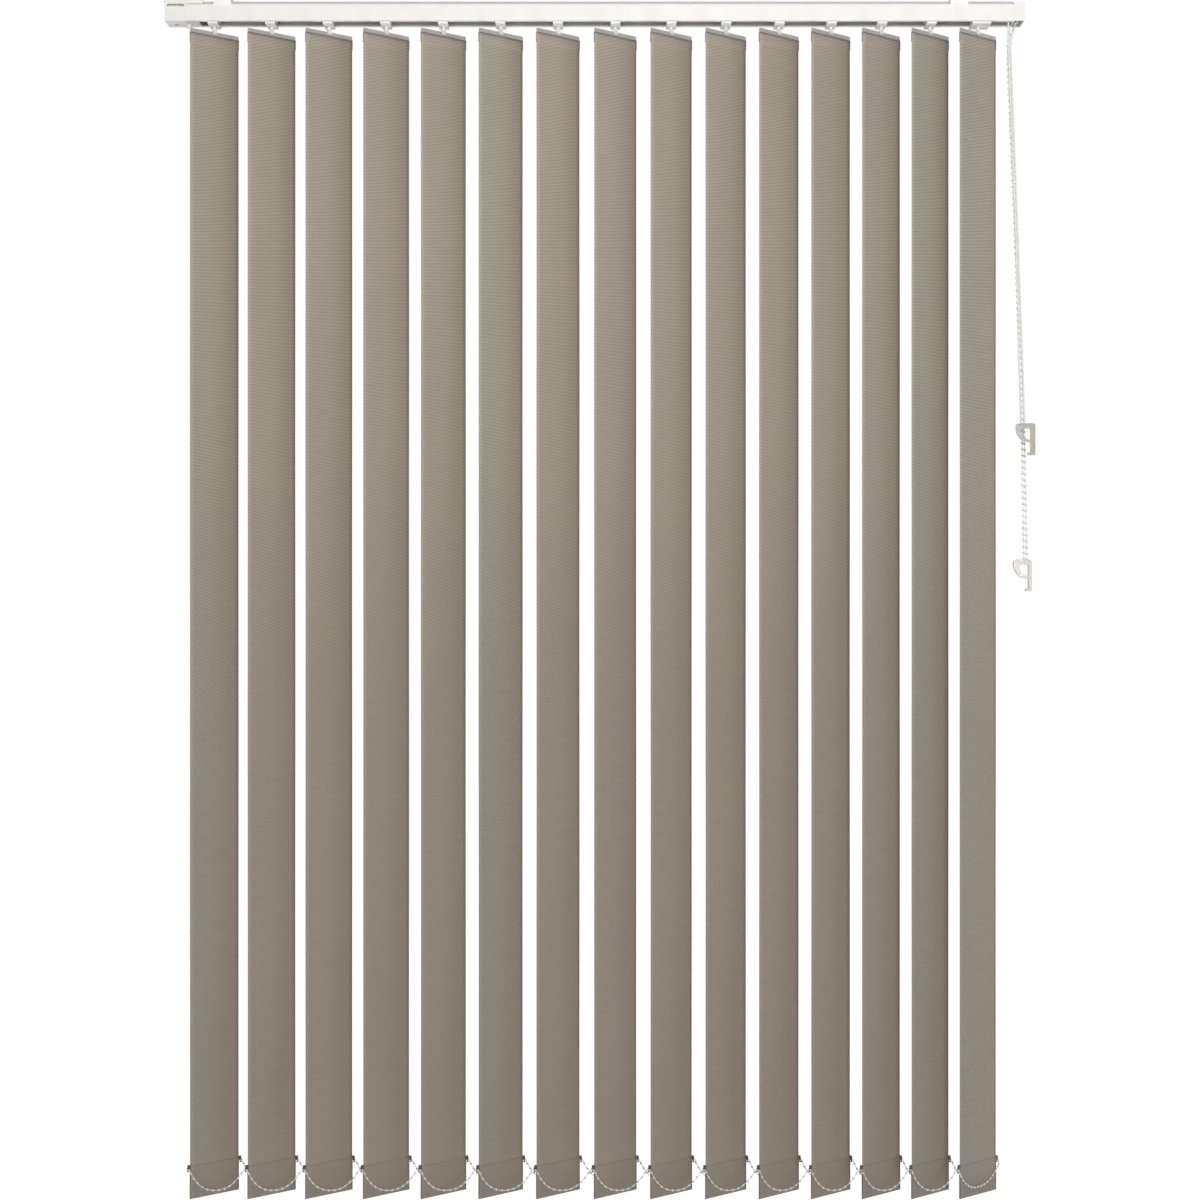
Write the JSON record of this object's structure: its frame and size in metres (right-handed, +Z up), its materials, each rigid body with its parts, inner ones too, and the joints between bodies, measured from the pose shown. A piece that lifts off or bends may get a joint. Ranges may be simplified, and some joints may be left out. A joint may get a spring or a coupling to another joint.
{
  "type": "vertical blind",
  "caption": "Vertical blind: white ceiling rail, hanging taupe cloth vanes that turn and stack, bead chains linking their hems, draw cord and control chain with hold-downs.",
  "frame": {"origin": "midway between the two ceiling brackets' screw holes, on the ceiling plane", "axes": "+X along the rail to the control end, +Y away from the room, +Z up"},
  "size_m": [1.2004, 0.0798, 1.65],
  "materials": {
    "white_metal": "satin painted aluminium",
    "white_plastic": "satin moulded plastic",
    "grey_plastic": "clear greyish moulded plastic",
    "bright_rod": "drawn",
    "cloth": "woven, stiffened",
    "cord": "braided",
    "bead_chain": "moulded beads"
  },
  "bodies": {
    "rail": {"head_rail": "white_metal", "ceiling_brackets": "white_metal", "idler_end_cap": "white_plastic", "control_end_cap": "white_plastic", "draw_cord": "cord", "control_chain": "bead_chain", "cord_hold_down": "grey_plastic", "chain_hold_down": "grey_plastic", "truck_01": "white_plastic"},
    "tilt_shaft": {"tilt_rod": "bright_rod", "chain_wheel": "white_plastic"},
    "front_cord_pulley": {"front_cord_pulley": "white_plastic"},
    "rear_cord_pulley": {"rear_cord_pulley": "white_plastic"},
    "return_pulley": {"return_pulley": "white_plastic"},
    "carrier_02": {"truck_02": "white_plastic"},
    "carrier_03": {"truck_03": "white_plastic"},
    "carrier_04": {"truck_04": "white_plastic"},
    "carrier_05": {"truck_05": "white_plastic"},
    "carrier_06": {"truck_06": "white_plastic"},
    "carrier_07": {"truck_07": "white_plastic"},
    "carrier_08": {"truck_08": "white_plastic"},
    "carrier_09": {"truck_09": "white_plastic"},
    "carrier_10": {"truck_10": "white_plastic"},
    "carrier_11": {"truck_11": "white_plastic"},
    "carrier_12": {"truck_12": "white_plastic"},
    "carrier_13": {"truck_13": "white_plastic"},
    "carrier_14": {"truck_14": "white_plastic"},
    "carrier_15": {"truck_15": "white_plastic"},
    "vane_01": {"vane_fittings_01": "grey_plastic", "vane_01": "cloth"},
    "vane_02": {"vane_fittings_02": "grey_plastic", "vane_02": "cloth"},
    "vane_03": {"vane_fittings_03": "grey_plastic", "vane_03": "cloth"},
    "vane_04": {"vane_fittings_04": "grey_plastic", "vane_04": "cloth"},
    "vane_05": {"vane_fittings_05": "grey_plastic", "vane_05": "cloth"},
    "vane_06": {"vane_fittings_06": "grey_plastic", "vane_06": "cloth"},
    "vane_07": {"vane_fittings_07": "grey_plastic", "vane_07": "cloth"},
    "vane_08": {"vane_fittings_08": "grey_plastic", "vane_08": "cloth"},
    "vane_09": {"vane_fittings_09": "grey_plastic", "vane_09": "cloth"},
    "vane_10": {"vane_fittings_10": "grey_plastic", "vane_10": "cloth"},
    "vane_11": {"vane_fittings_11": "grey_plastic", "vane_11": "cloth"},
    "vane_12": {"vane_fittings_12": "grey_plastic", "vane_12": "cloth"},
    "vane_13": {"vane_fittings_13": "grey_plastic", "vane_13": "cloth"},
    "vane_14": {"vane_fittings_14": "grey_plastic", "vane_14": "cloth"},
    "vane_15": {"vane_fittings_15": "grey_plastic", "vane_15": "cloth"},
    "front_link_chain": {"front_link_chain": "bead_chain"},
    "rear_link_chain": {"rear_link_chain": "bead_chain"}
  },
  "joints": [
    {"name": "traverse", "type": "slide", "parent": "rail", "child": "carrier_15", "axis": [1, 0, 0], "range_m": [-0.8566, 0], "deforming": ["front_link_chain", "rear_link_chain"]},
    {"name": "carrier_02_slide", "type": "slide", "parent": "rail", "child": "carrier_02", "axis": [1, 0, 0], "range_m": [-0.0654, 0]},
    {"name": "carrier_03_slide", "type": "slide", "parent": "rail", "child": "carrier_03", "axis": [1, 0, 0], "range_m": [-0.1306, 0]},
    {"name": "carrier_04_slide", "type": "slide", "parent": "rail", "child": "carrier_04", "axis": [1, 0, 0], "range_m": [-0.1958, 0]},
    {"name": "carrier_05_slide", "type": "slide", "parent": "rail", "child": "carrier_05", "axis": [1, 0, 0], "range_m": [-0.261, 0]},
    {"name": "carrier_06_slide", "type": "slide", "parent": "rail", "child": "carrier_06", "axis": [1, 0, 0], "range_m": [-0.3262, 0]},
    {"name": "carrier_07_slide", "type": "slide", "parent": "rail", "child": "carrier_07", "axis": [1, 0, 0], "range_m": [-0.3914, 0]},
    {"name": "carrier_08_slide", "type": "slide", "parent": "rail", "child": "carrier_08", "axis": [1, 0, 0], "range_m": [-0.4566, 0]},
    {"name": "carrier_09_slide", "type": "slide", "parent": "rail", "child": "carrier_09", "axis": [1, 0, 0], "range_m": [-0.5199, 0]},
    {"name": "carrier_10_slide", "type": "slide", "parent": "rail", "child": "carrier_10", "axis": [1, 0, 0], "range_m": [-0.5813, 0]},
    {"name": "carrier_11_slide", "type": "slide", "parent": "rail", "child": "carrier_11", "axis": [1, 0, 0], "range_m": [-0.6408, 0]},
    {"name": "carrier_12_slide", "type": "slide", "parent": "rail", "child": "carrier_12", "axis": [1, 0, 0], "range_m": [-0.6984, 0]},
    {"name": "carrier_13_slide", "type": "slide", "parent": "rail", "child": "carrier_13", "axis": [1, 0, 0], "range_m": [-0.7541, 0]},
    {"name": "carrier_14_slide", "type": "slide", "parent": "rail", "child": "carrier_14", "axis": [1, 0, 0], "range_m": [-0.8079, 0]},
    {"name": "front_cord_pulley_spin", "type": "hinge", "parent": "rail", "child": "front_cord_pulley", "pos_m": [0.5718, -0.0126, -0.024], "axis": [0, 1, 0], "range_deg": [-12271, 0]},
    {"name": "rear_cord_pulley_spin", "type": "hinge", "parent": "rail", "child": "rear_cord_pulley", "pos_m": [0.5718, -0.009, -0.024], "axis": [0, 1, 0], "range_deg": [0, 12271]},
    {"name": "return_pulley_spin", "type": "hinge", "parent": "rail", "child": "return_pulley", "pos_m": [-0.568, -0.0108, -0.02], "axis": [0, 0, 1], "range_deg": [-11687, 0]},
    {"name": "tilt", "type": "hinge", "parent": "rail", "child": "vane_01", "pos_m": [-0.5204, 0, -0.045], "axis": [0, 0, 1], "range_deg": [-37.3, 108.7]},
    {"name": "vane_02_tilt", "type": "hinge", "parent": "carrier_02", "child": "vane_02", "pos_m": [-0.4412, 0, -0.045], "axis": [0, 0, 1], "range_deg": [-37.35, 108.75]},
    {"name": "vane_03_tilt", "type": "hinge", "parent": "carrier_03", "child": "vane_03", "pos_m": [-0.362, 0, -0.045], "axis": [0, 0, 1], "range_deg": [-37.35, 108.75]},
    {"name": "vane_04_tilt", "type": "hinge", "parent": "carrier_04", "child": "vane_04", "pos_m": [-0.2828, 0, -0.045], "axis": [0, 0, 1], "range_deg": [-37.35, 108.75]},
    {"name": "vane_05_tilt", "type": "hinge", "parent": "carrier_05", "child": "vane_05", "pos_m": [-0.2036, 0, -0.045], "axis": [0, 0, 1], "range_deg": [-37.35, 108.75]},
    {"name": "vane_06_tilt", "type": "hinge", "parent": "carrier_06", "child": "vane_06", "pos_m": [-0.1244, 0, -0.045], "axis": [0, 0, 1], "range_deg": [-37.35, 108.75]},
    {"name": "vane_07_tilt", "type": "hinge", "parent": "carrier_07", "child": "vane_07", "pos_m": [-0.0452, 0, -0.045], "axis": [0, 0, 1], "range_deg": [-37.35, 108.75]},
    {"name": "vane_08_tilt", "type": "hinge", "parent": "carrier_08", "child": "vane_08", "pos_m": [0.034, 0, -0.045], "axis": [0, 0, 1], "range_deg": [-37.35, 108.75]},
    {"name": "vane_09_tilt", "type": "hinge", "parent": "carrier_09", "child": "vane_09", "pos_m": [0.1113, 0, -0.045], "axis": [0, 0, 1], "range_deg": [-37.35, 108.75]},
    {"name": "vane_10_tilt", "type": "hinge", "parent": "carrier_10", "child": "vane_10", "pos_m": [0.1867, 0, -0.045], "axis": [0, 0, 1], "range_deg": [-37.35, 108.75]},
    {"name": "vane_11_tilt", "type": "hinge", "parent": "carrier_11", "child": "vane_11", "pos_m": [0.2602, 0, -0.045], "axis": [0, 0, 1], "range_deg": [-37.35, 108.75]},
    {"name": "vane_12_tilt", "type": "hinge", "parent": "carrier_12", "child": "vane_12", "pos_m": [0.3318, 0, -0.045], "axis": [0, 0, 1], "range_deg": [-37.35, 108.75]},
    {"name": "vane_13_tilt", "type": "hinge", "parent": "carrier_13", "child": "vane_13", "pos_m": [0.4015, 0, -0.045], "axis": [0, 0, 1], "range_deg": [-37.35, 108.75]},
    {"name": "vane_14_tilt", "type": "hinge", "parent": "carrier_14", "child": "vane_14", "pos_m": [0.4693, 0, -0.045], "axis": [0, 0, 1], "range_deg": [-37.35, 108.75]},
    {"name": "vane_15_tilt", "type": "hinge", "parent": "carrier_15", "child": "vane_15", "pos_m": [0.5352, 0, -0.045], "axis": [0, 0, 1], "range_deg": [-37.35, 108.75]},
    {"name": "tilt_shaft_spin", "type": "hinge", "parent": "rail", "child": "tilt_shaft", "pos_m": [0, 0.01, -0.02], "axis": [1, 0, 0], "range_deg": [-747, 2175]},
    {"name": "front_link_chain_swing", "type": "hinge", "parent": "vane_01", "child": "front_link_chain", "pos_m": [-0.55203, -0.03677, -1.60905], "axis": [0, 0, 1], "range_deg": [-108.75, 37.35]},
    {"name": "rear_link_chain_swing", "type": "hinge", "parent": "vane_01", "child": "rear_link_chain", "pos_m": [-0.48877, 0.03677, -1.60905], "axis": [0, 0, 1], "range_deg": [-108.75, 37.35]}
  ],
  "couplings": [
    {"joint": "carrier_02_slide", "follows": "traverse", "ratio": 0.076115},
    {"joint": "carrier_03_slide", "follows": "traverse", "ratio": 0.15223},
    {"joint": "carrier_04_slide", "follows": "traverse", "ratio": 0.22834},
    {"joint": "carrier_05_slide", "follows": "traverse", "ratio": 0.30446},
    {"joint": "carrier_06_slide", "follows": "traverse", "ratio": 0.38057},
    {"joint": "carrier_07_slide", "follows": "traverse", "ratio": 0.45669},
    {"joint": "carrier_08_slide", "follows": "traverse", "ratio": 0.5328},
    {"joint": "carrier_09_slide", "follows": "traverse", "ratio": 0.6067},
    {"joint": "carrier_10_slide", "follows": "traverse", "ratio": 0.67838},
    {"joint": "carrier_11_slide", "follows": "traverse", "ratio": 0.74784},
    {"joint": "carrier_12_slide", "follows": "traverse", "ratio": 0.81508},
    {"joint": "carrier_13_slide", "follows": "traverse", "ratio": 0.88011},
    {"joint": "carrier_14_slide", "follows": "traverse", "ratio": 0.94291},
    {"joint": "front_cord_pulley_spin", "follows": "traverse", "rad_per_m": 250},
    {"joint": "rear_cord_pulley_spin", "follows": "traverse", "rad_per_m": -250},
    {"joint": "return_pulley_spin", "follows": "traverse", "rad_per_m": 238.1},
    {"joint": "vane_02_tilt", "follows": "tilt", "ratio": 1},
    {"joint": "vane_03_tilt", "follows": "tilt", "ratio": 1},
    {"joint": "vane_04_tilt", "follows": "tilt", "ratio": 1},
    {"joint": "vane_05_tilt", "follows": "tilt", "ratio": 1},
    {"joint": "vane_06_tilt", "follows": "tilt", "ratio": 1},
    {"joint": "vane_07_tilt", "follows": "tilt", "ratio": 1},
    {"joint": "vane_08_tilt", "follows": "tilt", "ratio": 1},
    {"joint": "vane_09_tilt", "follows": "tilt", "ratio": 1},
    {"joint": "vane_10_tilt", "follows": "tilt", "ratio": 1},
    {"joint": "vane_11_tilt", "follows": "tilt", "ratio": 1},
    {"joint": "vane_12_tilt", "follows": "tilt", "ratio": 1},
    {"joint": "vane_13_tilt", "follows": "tilt", "ratio": 1},
    {"joint": "vane_14_tilt", "follows": "tilt", "ratio": 1},
    {"joint": "vane_15_tilt", "follows": "tilt", "ratio": 1},
    {"joint": "tilt_shaft_spin", "follows": "tilt", "ratio": 20},
    {"joint": "front_link_chain_swing", "follows": "tilt", "ratio": -1},
    {"joint": "rear_link_chain_swing", "follows": "tilt", "ratio": -1}
  ]
}
